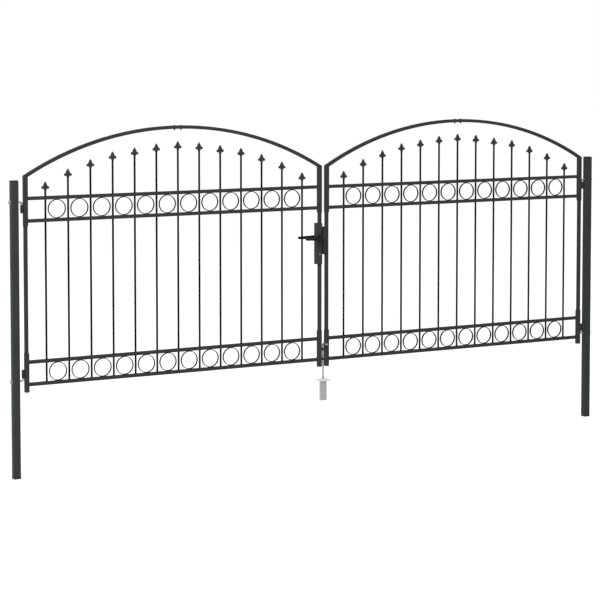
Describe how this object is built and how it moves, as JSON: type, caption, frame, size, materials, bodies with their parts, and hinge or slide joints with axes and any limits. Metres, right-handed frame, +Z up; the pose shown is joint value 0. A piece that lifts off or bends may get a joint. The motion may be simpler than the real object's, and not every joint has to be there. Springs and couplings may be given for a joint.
{
  "type": "arched double-leaf steel driveway gate with posts",
  "caption": "Arched double-leaf driveway gate of black steel tube with upright bars, spear finials and ring bands, lever lock, drop bolt with ground socket, and hook hinges on square posts.",
  "frame": {"origin": "centre of the left post's closed foot", "axes": "+X from the left post to the right post, +Z up, -Y the side with the drop bolt's handle"},
  "size_m": [4.026, 0.116, 1.9952],
  "materials": {
    "powder_coat": "satin",
    "post_powder_coat": "satin",
    "bar_powder_coat": "matte",
    "lever_black": "satin",
    "black_plastic": "matte",
    "zinc_plated": "satin",
    "black_fastener": "satin",
    "galvanised": "spangled",
    "nickel_plated": "satin"
  },
  "bodies": {
    "posts": {"left_post": "post_powder_coat", "right_post": "post_powder_coat", "left_post_cap": "black_plastic", "right_post_cap": "black_plastic", "left_hinge_hooks": "zinc_plated", "right_hinge_hooks": "zinc_plated", "ground_socket": "galvanised"},
    "left_leaf": {"left_hinge_stile": "powder_coat", "left_meeting_stile": "powder_coat", "left_upper_sleeves": "powder_coat", "left_lower_sleeves": "powder_coat", "left_foot_plugs": "black_plastic", "left_arch_hinge_half": "powder_coat", "left_arch_meeting_half": "powder_coat", "left_arch_bolts": "black_fastener", "left_upper_rails": "powder_coat", "left_lower_rails": "powder_coat", "left_upper_rings": "bar_powder_coat", "left_lower_rings": "bar_powder_coat", "left_bars": "bar_powder_coat", "left_finials": "powder_coat", "left_hinge_barrels": "powder_coat", "lock_case": "powder_coat", "lock_faceplate": "nickel_plated", "key_cylinder": "nickel_plated", "lever_roses": "lever_black"},
    "right_leaf": {"right_hinge_stile": "powder_coat", "right_meeting_stile": "powder_coat", "right_upper_sleeves": "powder_coat", "right_lower_sleeves": "powder_coat", "right_foot_plugs": "black_plastic", "right_arch_hinge_half": "powder_coat", "right_arch_meeting_half": "powder_coat", "right_arch_bolts": "black_fastener", "right_upper_rails": "powder_coat", "right_lower_rails": "powder_coat", "right_upper_rings": "bar_powder_coat", "right_lower_rings": "bar_powder_coat", "right_bars": "bar_powder_coat", "right_finials": "powder_coat", "right_hinge_barrels": "powder_coat", "lock_keeper": "powder_coat", "drop_bolt_guides": "powder_coat"},
    "lever_handle": {"front_lever": "lever_black", "back_lever": "lever_black", "lever_spindle": "zinc_plated"},
    "drop_bolt": {"drop_rod": "zinc_plated"}
  },
  "joints": [
    {"name": "left_leaf_swing", "type": "hinge", "parent": "posts", "child": "left_leaf", "pos_m": [0.0452, 0, 0.597], "axis": [0, 0, -1], "range_deg": [0, 90]},
    {"name": "right_leaf_swing", "type": "hinge", "parent": "posts", "child": "right_leaf", "pos_m": [3.9128, 0, 0.597], "axis": [0, 0, 1], "range_deg": [0, 90]},
    {"name": "lever_turn", "type": "hinge", "parent": "left_leaf", "child": "lever_handle", "pos_m": [1.946, 0, 1.283], "axis": [0, -1, 0], "range_deg": [0, 40], "stiffness_Nm_per_rad": 1.2, "springref_deg": -34.38},
    {"name": "drop_bolt_slide", "type": "slide", "parent": "right_leaf", "child": "drop_bolt", "axis": [0, 0, 1], "range_m": [-0.015, 0.06]}
  ]
}
